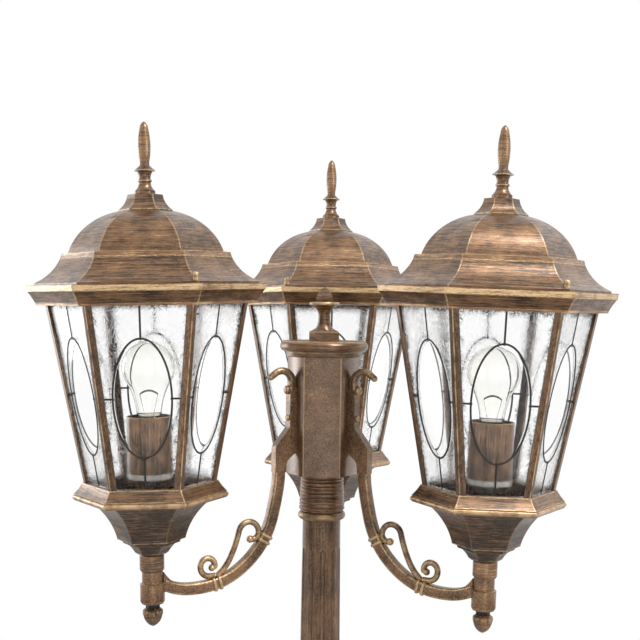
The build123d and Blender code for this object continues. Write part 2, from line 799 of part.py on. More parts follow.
def assembly():
    """Every node by name, each a list of solids in place."""
    nodes = {
        "base": [base()],
        "lower_shaft": [lower_shaft()],
        "knuckle": [knuckle()],
        "upper_shaft": [upper_shaft()],
        "neck_ring": [raised(neck_ring())],
        "grooved_collar": [raised(grooved_collar())],
        "hub": [raised(hub())],
        "hub_cap": [raised(hub_cap())],
        "hub_finial": [raised(hub_finial())],
        "arm_screws": [raised(s) for s in arm_screws()],
    }
    one_arm = arm()
    shared = {
        "cage_ribs": ribs(),
        "glass_panes": glass_panes(),
        "cames": cames(),
        "finial": [finial()],
        "lower_rim": [lower_rim()],
        "bowl": [bowl()],
        "socket_cover": [socket_cover()],
        "lampholder": [lampholder()],
        "bulb_cap": [bulb_cap()],
        "bulb_glass": [bulb_glass()],
        "filament": [filament()],
    }
    hardware = {
        "collars": [collar()],
        "lamp_tubes": [lamp_tube()],
        "lock_nuts": lock_nuts(),
        "acorn_nuts": [acorn_nut()],
    }
    for side, azimuth in arm_azimuths.items():
        place = lantern_place(side)
        corners = roof_screw_corners[side]
        nodes[f"{side}_arm"] = [raised(Rot(0, 0, azimuth) * one_arm)]
        nodes[f"{side}_roof"] = [place * roof(corners)]
        nodes[f"{side}_roof_screws"] = [place * s for s in roof_screws(corners)]
        nodes[f"{side}_cornice"] = [place * cornice(corners)]
        for name, shapes in shared.items():
            nodes[f"{side}_{name}"] = [place * s for s in shapes]
        for name, shapes in hardware.items():
            nodes.setdefault(name, []).extend(place * s for s in shapes)
    return nodes


def main():
    os.makedirs("parts", exist_ok=True)
    for name, shapes in assembly().items():
        solids = [solid for shape in shapes for solid in shape.solids()]
        export_step(Compound(children=solids) if len(solids) > 1 else solids[0], f"parts/{name}.step")


main()
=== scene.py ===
import json
import math

import bmesh
import bpy
from mathutils import Matrix, Vector


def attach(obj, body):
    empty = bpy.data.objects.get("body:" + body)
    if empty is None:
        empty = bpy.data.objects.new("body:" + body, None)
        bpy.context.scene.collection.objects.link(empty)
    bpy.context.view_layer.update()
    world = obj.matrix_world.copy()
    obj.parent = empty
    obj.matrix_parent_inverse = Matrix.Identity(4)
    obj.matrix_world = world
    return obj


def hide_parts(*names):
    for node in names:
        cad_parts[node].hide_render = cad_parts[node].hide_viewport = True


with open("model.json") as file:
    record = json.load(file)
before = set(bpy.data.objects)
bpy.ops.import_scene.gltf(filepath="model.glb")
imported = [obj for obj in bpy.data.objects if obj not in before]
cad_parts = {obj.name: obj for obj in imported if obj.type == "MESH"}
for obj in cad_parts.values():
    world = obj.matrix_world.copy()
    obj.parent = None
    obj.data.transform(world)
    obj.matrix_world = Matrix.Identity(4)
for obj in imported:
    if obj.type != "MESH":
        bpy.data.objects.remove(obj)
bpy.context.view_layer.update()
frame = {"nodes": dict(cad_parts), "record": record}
nodes = frame["nodes"]
bodyOf = {name: body for body, names in frame["record"]["behaviour"]["bodies"].items() for name in names}
print("frame loaded:", len(nodes), "pieces")

flat = math.cos(math.radians(30))  # a hexagon's middle to its flats, for a corner radius of 1
tinyOverlap = 2e-6  # corners closer than this are one, in metres

# the lanterns stand at the arms' ends, leaning out a little and turned on their tubes
post = {"footHeight": 1.600, "armReach": 0.213, "lean": 1.7}
sides = {
    "left": {"azimuth": 210.0, "turn": 5.0},
    "right": {"azimuth": 330.0, "turn": 0.0},
    "rear": {"azimuth": 90.0, "turn": 3.5},
}


def lanternMatrix(side):
    azimuth = math.radians(sides[side]["azimuth"])
    turn = math.radians(sides[side]["turn"])
    return (
        Matrix.Translation((0, 0, post["footHeight"]))
        @ Matrix.Rotation(azimuth, 4, "Z")
        @ Matrix.Translation((post["armReach"], 0, 0))
        @ Matrix.Rotation(math.radians(post["lean"]), 4, "Y")
        @ Matrix.Rotation(turn - azimuth, 4, "Z")
    )


def armMatrix(side):
    azimuth = math.radians(sides[side]["azimuth"])
    return Matrix.Translation((0, 0, post["footHeight"])) @ Matrix.Rotation(azimuth, 4, "Z")


# shader tools


class Value:
    # a socket that can be worked with as a number
    def __init__(self, tree, socket):
        self.tree, self.socket = tree, socket

    def op(self, operation, *others):
        node = self.tree.nodes.new("ShaderNodeMath")
        node.operation = operation
        for slot, other in zip(node.inputs, (self, *others)):
            if isinstance(other, Value):
                self.tree.links.new(other.socket, slot)
            else:
                slot.default_value = other
        return Value(self.tree, node.outputs[0])

    def swapped(self, operation, first):
        node = self.tree.nodes.new("ShaderNodeMath")
        node.operation = operation
        node.inputs[0].default_value = first
        self.tree.links.new(self.socket, node.inputs[1])
        return Value(self.tree, node.outputs[0])

    def __add__(self, other):
        return self.op("ADD", other)

    def __radd__(self, other):
        return self.op("ADD", other)

    def __sub__(self, other):
        return self.op("SUBTRACT", other)

    def __rsub__(self, other):
        return self.swapped("SUBTRACT", other)

    def __mul__(self, other):
        return self.op("MULTIPLY", other)

    def __rmul__(self, other):
        return self.op("MULTIPLY", other)

    def __truediv__(self, other):
        return self.op("DIVIDE", other)

    def __pow__(self, other):
        return self.op("POWER", other)

    def __neg__(self):
        return self.op("MULTIPLY", -1)

    def __abs__(self):
        return self.op("ABSOLUTE")

    def high(self, other):
        return self.op("MAXIMUM", other)

    def low(self, other):
        return self.op("MINIMUM", other)

    def ramp(self, start, end):
        # 0 at start, 1 at end, smooth between; start may be above end
        node = self.tree.nodes.new("ShaderNodeMapRange")
        node.interpolation_type = "SMOOTHSTEP"
        self.tree.links.new(self.socket, node.inputs[0])
        node.inputs[1].default_value, node.inputs[2].default_value = min(start, end), max(start, end)
        node.inputs[3].default_value, node.inputs[4].default_value = (0, 1) if start < end else (1, 0)
        return Value(self.tree, node.outputs[0])


def feed(tree, slot, value):
    if isinstance(value, Value):
        tree.links.new(value.socket, slot)
    elif isinstance(value, bpy.types.NodeSocket):
        tree.links.new(value, slot)
    else:
        slot.default_value = value


class Finish:
    # a material being built on the Principled shader
    def __init__(self, name):
        self.material = bpy.data.materials.new(name)
        self.material.use_nodes = True
        self.tree = self.material.node_tree
        self.shader = self.tree.nodes["Principled BSDF"]

    def node(self, kind, settings=None, **values):
        made = self.tree.nodes.new("ShaderNode" + kind)
        for key, setting in (settings or {}).items():
            setattr(made, key, setting)
        for key, value in values.items():
            feed(self.tree, made.inputs[key], value)
        return made

    def coordinates(self, matrix=None):
        # the piece's own coordinates, turned into the lantern's or the arm's frame
        point = self.node("TexCoord").outputs["Object"]
        if matrix is not None:
            mapping = self.node("Mapping", {"vector_type": "TEXTURE"}, Vector=point)
            mapping.inputs["Location"].default_value = matrix.to_translation()
            mapping.inputs["Rotation"].default_value = matrix.to_euler()
            point = mapping.outputs[0]
        return point

    def split(self, point):
        parts = self.node("SeparateXYZ", Vector=point)
        return [Value(self.tree, parts.outputs[i]) for i in range(3)]

    def stretched(self, point, scale):
        mapping = self.node("Mapping", Vector=point)
        mapping.inputs["Scale"].default_value = scale
        return mapping.outputs[0]

    def noise(self, point, scale, detail=3.0, rough=0.55, distortion=0.0):
        size = {"Scale": scale, "Detail": detail, "Roughness": rough, "Distortion": distortion}
        return Value(self.tree, self.node("TexNoise", Vector=point, **size).outputs[0])

    def blend(self, factor, low, high):
        made = self.node("Mix", {"data_type": "RGBA"})
        feed(self.tree, made.inputs[0], factor)
        feed(self.tree, made.inputs[6], low)
        feed(self.tree, made.inputs[7], high)
        return made.outputs[2]

    def bump(self, height, distance, strength=1.0):
        made = self.node("Bump", Height=height)
        made.inputs["Distance"].default_value = distance
        made.inputs["Strength"].default_value = strength
        self.tree.links.new(made.outputs[0], self.shader.inputs["Normal"])

    def put(self, **values):
        for key, value in values.items():
            feed(self.tree, self.shader.inputs[key.replace("_", " ")], value)
        return self.material


def rgb(*seen):
    # a colour as seen on screen, each part 0 to 255
    return tuple(((c / 255 + 0.055) / 1.055) ** 2.4 for c in seen) + (1.0,)


white = (1, 1, 1, 1)


def addPiece(name, mesh, material):
    mesh.materials.append(material)
    piece = bpy.data.objects.new(name, mesh)
    bpy.context.scene.collection.objects.link(piece)
    return piece


# brown lacquer with copper rubbed over it by brush, and edges worn to pale gold, the pale gold partly a painted
# highlight
patina = {
    "dark": rgb(54, 39, 27),
    "brown": rgb(84, 61, 43),
    "copper": rgb(150, 112, 78),
    # pale gold of rubbed edges, also painted on as highlight
    "paleGoldAndHighlight": rgb(222, 190, 144),
    "metallic": 0.5,
    "roughness": 0.38,
    "rubbedGloss": 0.08,  # how much smoother the copper is
    "grainGloss": 0.20,
    "coatRoughness": 0.24,
    "stroke": 0.55,  # how much each layer of noise lifts the copper through
    "bristle": 0.45,
    "grain": 0.30,
    "patch": 0.30,
    "cloud": 0.18,
    "wearAndShade": 0.30,
    "copperShows": (-0.12, 0.14),
    "goldShows": (0.13, 0.26),
    "edgeWidth": 0.0015,
    "edgeWander": 0.0020,
    "lineWidth": 0.0010,
    "lineWander": 0.0016,
    "bend": (0.13, 0.40),  # how sharply a surface rounds, in 1/mm, where rubbing starts and where it is bare; the gold there is partly a painted highlight
    "bendGoldAndHighlight": 0.85,
    "relief": 0.00020,
}
brushing = {
    # across and along the piece, for brush marks and for single bristles
    "level": ((26, 26, 640), (130, 130, 1700)),
    "upright": ((620, 620, 34), (1500, 1500, 140)),
    "even": ((620, 620, 620), (1200, 1200, 1200)),
}
dots = (900, 900, 620)


def cornerDistance(x, y):
    # how far a point is from the nearest corner line of a six-sided piece that has a corner along x
    a, b, c = abs(y), abs(x * flat + y * 0.5), abs(y * 0.5 - x * flat)
    first = a.high(b).high(c)
    second = a.low(b).high(a.high(b).low(c))
    return (first - second) / flat


def patinaAndPaintedLight(
    name, matrix=None, streak="level", wearAndShade=0.5, levels=(), bands=(), cornered=0.0, dotted=0.0, toneAndPaintedShade=0.0,
    polishAndHighlight=None, coat=0.3,
):
    # levels are the heights, in the piece's own frame, of pale gold edge lines, rubbed and partly a painted
    # highlight;
    # bands are (low, high, more wear), partly a painted highlight too; cornered is how bright the six corners
    # are rubbed;
    # the polish function of x, y and z adds gold for the rest, partly a painted highlight
    finish = Finish(name)
    point = finish.coordinates(matrix)
    x, y, z = finish.split(point)
    strokes, hairs = brushing[streak]
    brush = finish.noise(finish.stretched(point, strokes), 1.0, 3.0, 0.65, 0.15)
    bristle = finish.noise(finish.stretched(point, hairs), 1.0, 2.0, 0.7)
    grain = finish.noise(point, 1300.0, 2.0, 0.7)
    patches = finish.noise(point, 15.0, 3.0, 0.5)
    clouds = finish.noise(point, 60.0, 3.0, 0.6)
    broken = grain * 0.6 + bristle * 0.4

    lift = (brush - 0.5) * patina["stroke"] + (bristle - 0.5) * patina["bristle"]
    lift = lift + (grain - 0.5) * patina["grain"] + (patches - 0.5) * patina["patch"]
    lift = lift + (clouds - 0.5) * patina["cloud"] + (wearAndShade - 0.5) * patina["wearAndShade"]
    for low, high, more in bands:
        past = abs(z - (low + high) / 2) - (high - low) / 2
        lift = lift + past.ramp(0.0006, -0.0004) * more
    rubbed = lift.ramp(*patina["copperShows"])
    if dotted:
        spots = finish.noise(finish.stretched(point, dots), 1.0, 2.0, 0.6)
        rubbed = rubbed * (1 - dotted) + spots.ramp(0.40, 0.62) * dotted

    goldWearAndHighlight = lift.ramp(*patina["goldShows"])
    if cornered:
        corner = cornerDistance(x, y) + (clouds - 0.5) * patina["edgeWander"]
        edge = corner.ramp(patina["edgeWidth"], patina["edgeWidth"] * 0.2) * broken.ramp(0.40, 0.56)
        goldWearAndHighlight = goldWearAndHighlight.high(edge * cornered)
    for level in levels:
        away = abs(z - level) + (clouds - 0.5) * patina["lineWander"]
        line = away.ramp(patina["lineWidth"], patina["lineWidth"] * 0.1)
        goldWearAndHighlight = goldWearAndHighlight.high(line * broken.ramp(0.44, 0.58))
    # pale gold where the surface rounds sharply: rubbed wear, and partly a painted highlight where rounded
    # edges and rims catch the light
    bend = Value(finish.tree, finish.node("Attribute", {"attribute_name": "outwardBend"}).outputs["Fac"])
    roundWearAndHighlight = bend.ramp(*patina["bend"]) * (grain * 0.4 + clouds * 0.6).ramp(0.38, 0.56)
    goldWearAndHighlight = goldWearAndHighlight.high(roundWearAndHighlight * patina["bendGoldAndHighlight"])
    if polishAndHighlight:
        goldWearAndHighlight = goldWearAndHighlight.high(polishAndHighlight(x, y, z) * (grain * 0.5 + clouds * 0.5).ramp(0.36, 0.52))

    # the base is darkened by the shade setting: painted shade on the bowls, a darker tone on other pieces
    thin = (patches * 0.5 + brush * 0.5).ramp(0.38 + toneAndPaintedShade, 0.62 + toneAndPaintedShade)
    base = finish.blend(thin, patina["dark"], patina["brown"])
    colour = finish.blend(goldWearAndHighlight, finish.blend(rubbed, base, patina["copper"]), patina["paleGoldAndHighlight"])
    gloss = patina["roughness"] - rubbed * patina["rubbedGloss"] + (grain - 0.5) * patina["grainGloss"]
    finish.bump(brush * 0.5 + bristle * 0.3 + grain * 0.5, patina["relief"], 0.8)
    finish.put(Base_Color=colour, Roughness=gloss, Metallic=patina["metallic"])
    return finish.put(Coat_Weight=coat, Coat_Roughness=patina["coatRoughness"])


def plainMetal(name, colour, rough, metallic=1.0, scale=700.0):
    finish = Finish(name)
    point = finish.coordinates()
    grain = finish.noise(point, scale, 3.0, 0.6)
    clouds = finish.noise(point, 60.0, 2.0, 0.5)
    mixed = (grain * 0.5 + clouds * 0.5).ramp(0.35, 0.65)
    shaded = tuple(c * 0.62 for c in colour[:3]) + (1.0,)
    finish.bump(grain, 0.0001, 0.7)
    gloss = rough + (clouds - 0.5) * 0.12
    return finish.put(Base_Color=finish.blend(mixed, shaded, colour), Roughness=gloss, Metallic=metallic)


# camera, floor and light

camera = {
    "place": (0.0466, -1.4818, 1.9622),
    "pan": 1.523,
    "pitch": -1.835,
    "roll": 0.811,
    "focal": 1237.2,  # in pixels of the 640 pixel frame
    "centre": (330.0, 346.0),
    "frame": 640,
    "sensor": 36.0,
}


def makeCamera():
    data = bpy.data.cameras.new("camera")
    data.sensor_width = camera["sensor"]
    data.lens = camera["sensor"] * camera["focal"] / camera["frame"]
    data.shift_x = 0.5 - camera["centre"][0] / camera["frame"]
    data.shift_y = camera["centre"][1] / camera["frame"] - 0.5
    data.clip_start, data.clip_end = 0.05, 60
    eye = bpy.data.objects.new("camera", data)
    bpy.context.scene.collection.objects.link(eye)
    turn = (
        Matrix.Rotation(math.radians(camera["pan"]), 4, "Z")
        @ Matrix.Rotation(math.radians(90 + camera["pitch"]), 4, "X")
        @ Matrix.Rotation(math.radians(camera["roll"]), 4, "Z")
    )
    eye.matrix_world = Matrix.Translation(camera["place"]) @ turn
    bpy.context.scene.camera = eye


studio = {
    "floorSize": 7.0,
    "floorDepth": 0.0005,  # how far the floor lies under the base, so that the two don't flicker
    "floorPaint": (rgb(238, 238, 238), rgb(246, 246, 246)),
    "world": 0.33,
    "lamps": [
        # name, place, aim, size, watts
        ("leftSoftbox", (-2.6, -1.1, 2.5), (0, 0, 1.9), 1.4, 12),
        ("leftRearSoftbox", (-2.4, 1.5, 2.0), (0, 0, 1.9), 1.2, 15),
        ("rightSoftbox", (2.3, -1.5, 2.5), (0, 0, 1.9), 0.9, 14),
        ("topSoftbox", (0.95, -0.95, 3.7), (0.2, 0, 1.9), 0.8, 37),
        ("lowSoftbox", (0.4, -2.8, 0.6), (0, 0, 0.8), 1.2, 5),
    ],
}


def makeStudio():
    scene = bpy.context.scene
    world = bpy.data.worlds.new("studio")
    scene.world = world
    world.use_nodes = True
    tree = world.node_tree
    background = tree.nodes["Background"]
    background.inputs["Color"].default_value = white
    rays = tree.nodes.new("ShaderNodeLightPath")
    seen = Value(tree, rays.outputs["Is Camera Ray"]).high(Value(tree, rays.outputs["Is Transmission Ray"]))
    seen = seen.high(Value(tree, rays.outputs["Is Glossy Ray"]))
    strength = seen * (1 - studio["world"]) + studio["world"]
    tree.links.new(strength.socket, background.inputs["Strength"])
    half = studio["floorSize"] / 2
    corners = [(x * half, y * half, -studio["floorDepth"]) for x, y in ((-1, -1), (1, -1), (1, 1), (-1, 1))]
    mesh = bpy.data.meshes.new("floor")
    mesh.from_pydata(corners, [], [(0, 1, 2, 3)])
    paint = Finish("floorPaint")
    cloud = paint.noise(paint.coordinates(), 3.0, 2.0, 0.5)
    colour = paint.blend(cloud, *studio["floorPaint"])
    addPiece("floor", mesh, paint.put(Base_Color=colour, Roughness=0.7))
    for name, place, aim, size, watts in studio["lamps"]:
        lamp = bpy.data.lights.new(name, "AREA")
        lamp.size, lamp.energy = size, watts
        item = bpy.data.objects.new(name, lamp)
        scene.collection.objects.link(item)
        item.location = place
        item.rotation_euler = (Vector(place) - Vector(aim)).to_track_quat("Z", "Y").to_euler()
    scene.view_settings.view_transform = "Standard"


makeCamera()
makeStudio()
print("camera and studio ready")

# geometry node trees, each run once and kept as a plain mesh


class Shaper:
    # sizes become the tree's named inputs
    def __init__(self, name, sizes):
        self.name, self.sizes, self.keys = name, sizes, {}
        self.tree = bpy.data.node_groups.new(name, "GeometryNodeTree")
        self.tree.interface.new_socket("Shape", in_out="OUTPUT", socket_type="NodeSocketGeometry")
        for label, size in sizes.items():
            kind = "NodeSocketInt" if isinstance(size, int) else "NodeSocketFloat"
            socket = self.tree.interface.new_socket(label, in_out="INPUT", socket_type=kind)
            self.keys[label] = socket.identifier
        self.given = self.tree.nodes.new("NodeGroupInput")
        self.result = self.tree.nodes.new("NodeGroupOutput")

    def size(self, label):
        return Value(self.tree, self.given.outputs[label])

    def node(self, kind, **values):
        made = self.tree.nodes.new(kind)
        for key, value in values.items():
            feed(self.tree, made.inputs[key.replace("_", " ")], value)
        return made

    def vector(self, x=0.0, y=0.0, z=0.0):
        return self.node("ShaderNodeCombineXYZ", X=x, Y=y, Z=z).outputs[0]

    def moved(self, shape, **change):
        return self.node("GeometryNodeTransform", Geometry=shape, **change).outputs[0]

    def joined(self, *shapes):
        join = self.node("GeometryNodeJoinGeometry")
        for shape in shapes:
            self.tree.links.new(shape, join.inputs[0])
        return join.outputs[0]

    def smooth(self, shape):
        return self.node("GeometryNodeSetShadeSmooth", Geometry=shape).outputs[0]

    def bake(self, piece, shape, material, place):
        shape = self.node("GeometryNodeRealizeInstances", Geometry=shape).outputs[0]
        shape = self.node("GeometryNodeSetMaterial", Geometry=shape, Material=material).outputs[0]
        self.tree.links.new(shape, self.result.inputs[0])
        item = bpy.data.objects.new(piece, bpy.data.meshes.new(piece + "Seed"))
        bpy.context.scene.collection.objects.link(item)
        run = item.modifiers.new(self.name, "NODES")
        run.node_group = self.tree
        for label, size in self.sizes.items():
            run[self.keys[label]] = size
        found = item.evaluated_get(bpy.context.evaluated_depsgraph_get())
        made = bpy.data.meshes.new_from_object(found)
        item.modifiers.clear()
        item.data = made
        made.transform(place)
        made.name = piece
        return item


# metal pieces: merged copies of the castings with softened edges


def markBends(mesh):
    # how sharply each face rounds outwards, in 1/mm, for the patina to be rubbed off there and a highlight to
    # be painted there
    layer = mesh.faces.layers.float.new("outwardBend")
    for face in mesh.faces:
        turned = 0.0
        for edge in face.edges:
            if edge.smooth:
                turned += edge.calc_face_angle_signed(0.0) * edge.calc_length() / 2
        face[layer] = turned / max(face.calc_area(), 1e-9) / 1000  # 1e-9 m2 keeps slivers finite


def dress(name, material, angle=32, bevel=0.0004):
    mesh = bmesh.new()
    mesh.from_mesh(nodes[name].data)
    bmesh.ops.remove_doubles(mesh, verts=mesh.verts, dist=tinyOverlap)
    for face in mesh.faces:
        face.smooth = True
    for edge in mesh.edges:
        edge.smooth = len(edge.link_faces) == 2 and edge.calc_face_angle(0.0) < math.radians(angle)
    markBends(mesh)
    copy = bpy.data.meshes.new(name + "Skin")
    mesh.to_mesh(copy)
    mesh.free()
    piece = addPiece(name + "Skin", copy, material)
    if bevel:
        soft = piece.modifiers.new("edges", "BEVEL")
        soft.width, soft.segments, soft.limit_method = bevel, 2, "ANGLE"
        soft.angle_limit = math.radians(angle)
        soft.harden_normals = True
        soft.use_clamp_overlap = True
    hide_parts(name)
    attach(piece, bodyOf[name])


blackNut = plainMetal("blackOxide", rgb(34, 33, 33), 0.42, 0.6)
tubeZinc = plainMetal("zincTube", rgb(150, 146, 138), 0.38)
ceramic = plainMetal("holderCeramic", rgb(226, 222, 212), 0.25, 0.0, 300.0)
nickel = plainMetal("capNickel", rgb(196, 188, 170), 0.25)

bar = {"halfThickness": 0.0058, "ringReach": 0.160, "ringGoldAndHighlight": 0.8}


def armRingWearAndHighlight(x, y, z):
    # the cast rings, which stand out past the bar's sides, rubbed to gold that is partly a painted highlight
    rings = abs(y).ramp(bar["halfThickness"] + 0.0003, bar["halfThickness"] + 0.0010)
    return rings * bar["ringGoldAndHighlight"] * x.ramp(bar["ringReach"] + 0.006, bar["ringReach"])


# each casting's patina with its painted shade and highlights, with heights in metres from the lantern's foot
lanternCastings = {
    "roof": {
        "name": "RoofPatina",
        "wearAndShade": 0.48,
        "levels": (0.4191, 0.4136, 0.4662),
        "bands": ((0.4136, 0.4191, 0.10),),
        "cornered": 0.6,
    },
    "cornice": {
        "name": "CornicePatinaAndHighlight",
        "wearAndShade": 0.40,
        # the pale gold line and band at the top bead are partly a painted highlight, where the bead catches the
        # light, and partly rubbed wear
        "levels": (0.3772,),
        "bands": ((0.3775, 0.3835, 0.24), (0.3615, 0.3645, 0.14)),
        "cornered": 0.8,
        "coat": 0.0,
    },
    "lower_rim": {
        "name": "RimPatina",
        "wearAndShade": 0.50,
        "levels": (0.1635, 0.1516),
        "bands": ((0.1450, 0.1516, 0.08),),
        "cornered": 0.8,
    },
    "bowl": {
        # the bowls' darker base and lower wear are painted shade: their downward-facing fronts get less light
        "name": "BowlPatinaAndShade",
        "wearAndShade": 0.30,
        "levels": (0.0995, 0.0945),
        "cornered": 0.25,
        "toneAndPaintedShade": 0.08,
        "coat": 0.4,
    },
    "cage_ribs": {"name": "RibPatina", "streak": "upright", "wearAndShade": 0.34, "dotted": 0.4, "toneAndPaintedShade": 0.05},
    "finial": {"name": "FinialPatina", "wearAndShade": 0.56, "levels": (0.5095, 0.4985)},
    "socket_cover": {
        "name": "CoverPatina",
        "streak": "upright",
        "wearAndShade": 0.46,
        "levels": (0.2372,),
        "toneAndPaintedShade": 0.04,
    },
    "roof_screws": {"name": "ScrewPatina", "streak": "even", "wearAndShade": 0.66},
}
armCasting = {"name": "ArmPatinaAndHighlight", "streak": "even", "wearAndShade": 0.55, "polishAndHighlight": armRingWearAndHighlight}
# heights from the ground
groundCastings = {
    "base": {"name": "basePatina", "wearAndShade": 0.48, "levels": (0.0098, 0.097, 0.111)},
    "knuckle": {"name": "knucklePatina", "wearAndShade": 0.52, "levels": (0.765, 0.783)},
}
# heights from the arms' foot
headCastings = {
    "hub": {"name": "hubPatina", "streak": "even", "wearAndShade": 0.56, "cornered": 0.9, "dotted": 0.35, "coat": 0.9},
    # the pale gold on the cap's rounded rim is partly a painted reflection of the light and partly rubbed wear
    "hub_cap": {"name": "capPatinaAndHighlight", "wearAndShade": 0.52, "levels": (0.3205, 0.308)},
    "hub_finial": {"name": "hubFinialPatina", "wearAndShade": 0.52, "levels": (0.331, 0.366)},
    "grooved_collar": {"name": "couplingPatina", "wearAndShade": 0.52},
    "neck_ring": {"name": "ringPatina", "wearAndShade": 0.54},
    "collars": {"name": "ferrulePatina", "wearAndShade": 0.64},
    "acorn_nuts": {"name": "acornPatina", "streak": "upright", "wearAndShade": 0.52},
    "arm_screws": {"name": "footScrewPatina", "streak": "even", "wearAndShade": 0.66},
}
shaftFinish = {"name": "shaftPatina", "streak": "upright", "wearAndShade": 0.36, "dotted": 0.4, "toneAndPaintedShade": 0.04}


def dressCastings(castings, matrix, side=None):
    for node, casting in castings.items():
        name, owner = (side + casting["name"], f"{side}_{node}") if side else (casting["name"], node)
        dress(owner, patinaAndPaintedLight(**{**casting, "name": name, "matrix": matrix}))


for side in sides:
    dressCastings(lanternCastings, lanternMatrix(side), side)
    dressCastings({"arm": armCasting}, armMatrix(side), side)
    dress(side + "_lampholder", ceramic)
    dress(side + "_bulb_cap", nickel)
dressCastings(groundCastings, None)
dressCastings(headCastings, Matrix.Translation((0, 0, post["footHeight"])))
shaftPatina = patinaAndPaintedLight(**shaftFinish)
dress("upper_shaft", shaftPatina)
dress("lower_shaft", shaftPatina)
dress("lock_nuts", blackNut)
dress("lamp_tubes", tubeZinc)
print("castings dressed")

# glass and wires

pane = {
    "count": 6,
    "footRadius": 0.0744,  # circumradius of the cage's corners
    "headRadius": 0.1122,
    "foot": 0.1640,
    "head": 0.3620,
    "setBack": 0.0033,
    "thickness": 0.0030,
    "ovalHalfWidth": 0.0310,
    "ovalHalfHeight": 0.0650,
    "rim": 0.0003,  # how far the glass stops short of the frame at its foot, and twice that at its head
    "columns": 6,
    "rows": 12,
    "ripple": 0.0006,
    "worms": 0.06,
    "flow": 0.40,
    "pits": 0.07,
    "inOval": 0.015,  # the share of the ripple that is left inside the oval
    "bend": 1.22,
    "frosting": 0.0075,  # how far in from the frame the glass is dark with ripples
    "frostWander": 0.022,
    "speck": rgb(70, 70, 68),
}
pane["slope"] = (pane["headRadius"] - pane["footRadius"]) * flat / (pane["head"] - pane["foot"])
pane["height"] = (pane["head"] - pane["foot"]) * math.hypot(1, pane["slope"])
pane["middle"] = pane["height"] / 2
pane["gap"] = (pane["setBack"] + pane["thickness"]) / flat + 0.0004
pane["footHalf"] = (pane["footRadius"] - pane["gap"]) / 2
pane["headHalf"] = (pane["headRadius"] - pane["gap"]) / 2


def paneGlass(name):
    # ice glass, nearly flat inside the oval; its ripples go dark along the frame
    finish = Finish(name)
    u, v = finish.split(finish.node("UVMap", {"uv_map": "pane"}).outputs[0])[:2]
    point = finish.coordinates()
    ring = ((u / pane["ovalHalfWidth"]) ** 2 + ((v - pane["middle"]) / pane["ovalHalfHeight"]) ** 2) ** 0.5
    outside = ring.ramp(0.95, 0.99)
    worms = abs(finish.noise(point, 170.0, 2.0, 0.6, 1.5) - 0.5).ramp(0.06, 0.0)
    flow = finish.noise(point, 38.0, 2.0, 0.5, 0.5)
    pits = finish.noise(point, 520.0, 2.0, 0.6)
    side = v * ((pane["headHalf"] - pane["footHalf"]) / pane["height"]) + pane["footHalf"] - abs(u)
    wander = (finish.noise(point, 55.0, 3.0, 0.6) - 0.5) * pane["frostWander"]
    border = side.low(pane["height"] - v).low(v * 0.7) + wander
    frosted = border.ramp(pane["frosting"], 0.0) * outside
    specks = finish.noise(point, 420.0, 3.0, 0.75, 0.8).ramp(0.44, 0.56)
    height = worms * pane["worms"] + flow * pane["flow"] + pits * pane["pits"]
    finish.bump(height * (outside * (1 - pane["inOval"]) + pane["inOval"]), pane["ripple"], 1.0)
    tint = finish.blend((worms * outside * 0.06).high(specks * frosted), white, pane["speck"])
    return finish.put(Base_Color=tint, Roughness=0.0, IOR=pane["bend"], Transmission_Weight=1.0)


def clearGlass(name, colour, bend):
    finish = Finish(name)
    wave = finish.noise(finish.coordinates(), 25.0, 2.0, 0.5)
    finish.bump(wave, 0.0002, 0.3)
    tint = finish.blend(wave.ramp(0.3, 0.7), white, colour)
    return finish.put(Base_Color=tint, Roughness=0.0, IOR=bend, Transmission_Weight=1.0)


def paneFrame(turn):
    # x across the pane, y up its slope, z outwards
    up = Vector((0, -pane["slope"], 1)).normalized()
    out = Vector((1, 0, 0)).cross(up)
    origin = Vector((0, -(pane["footRadius"] * flat - pane["setBack"]), pane["foot"]))
    axes = Matrix((Vector((1, 0, 0)), up, out)).transposed().to_4x4()
    return Matrix.Rotation(math.radians(turn), 4, "Z") @ Matrix.Translation(origin) @ axes


def paneGrid(mesh, layer, place):
    # one pane: a grid of squares on each face and a row of them round the edge
    columns, rows = pane["columns"], pane["rows"]
    bottom, top = pane["rim"], pane["height"] - pane["rim"] * 2
    grid = {}
    for face in (0, 1):
        for i in range(columns + 1):
            for j in range(rows + 1):
                v = bottom + (top - bottom) * j / rows
                half = pane["footHalf"] + (pane["headHalf"] - pane["footHalf"]) * j / rows
                u = half * (2 * i / columns - 1)
                grid[face, i, j] = (mesh.verts.new(place @ Vector((u, v, -pane["thickness"] * face))), (u, v))
    quads = []
    for i in range(columns):
        for j in range(rows):
            quads.append([(0, i, j), (0, i + 1, j), (0, i + 1, j + 1), (0, i, j + 1)])
            quads.append([(1, i, j + 1), (1, i + 1, j + 1), (1, i + 1, j), (1, i, j)])
    for i in range(columns):
        quads.append([(1, i, 0), (1, i + 1, 0), (0, i + 1, 0), (0, i, 0)])
        quads.append([(0, i, rows), (0, i + 1, rows), (1, i + 1, rows), (1, i, rows)])
    for j in range(rows):
        quads.append([(0, 0, j), (0, 0, j + 1), (1, 0, j + 1), (1, 0, j)])
        quads.append([(1, columns, j), (1, columns, j + 1), (0, columns, j + 1), (0, columns, j)])
    for quad in quads:
        face = mesh.faces.new([grid[key][0] for key in quad])
        for loop, key in zip(face.loops, quad):
            loop[layer].uv = grid[key][1]


def makePanes(side, material):
    mesh = bmesh.new()
    layer = mesh.loops.layers.uv.new("pane")
    for k in range(pane["count"]):
        paneGrid(mesh, layer, paneFrame(360 * k / pane["count"]))
    mesh.transform(lanternMatrix(side))
    data = bpy.data.meshes.new(side + "Panes")
    mesh.to_mesh(data)
    mesh.free()
    piece = addPiece(side + "Panes", data, material)
    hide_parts(side + "_glass_panes")
    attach(piece, "post")


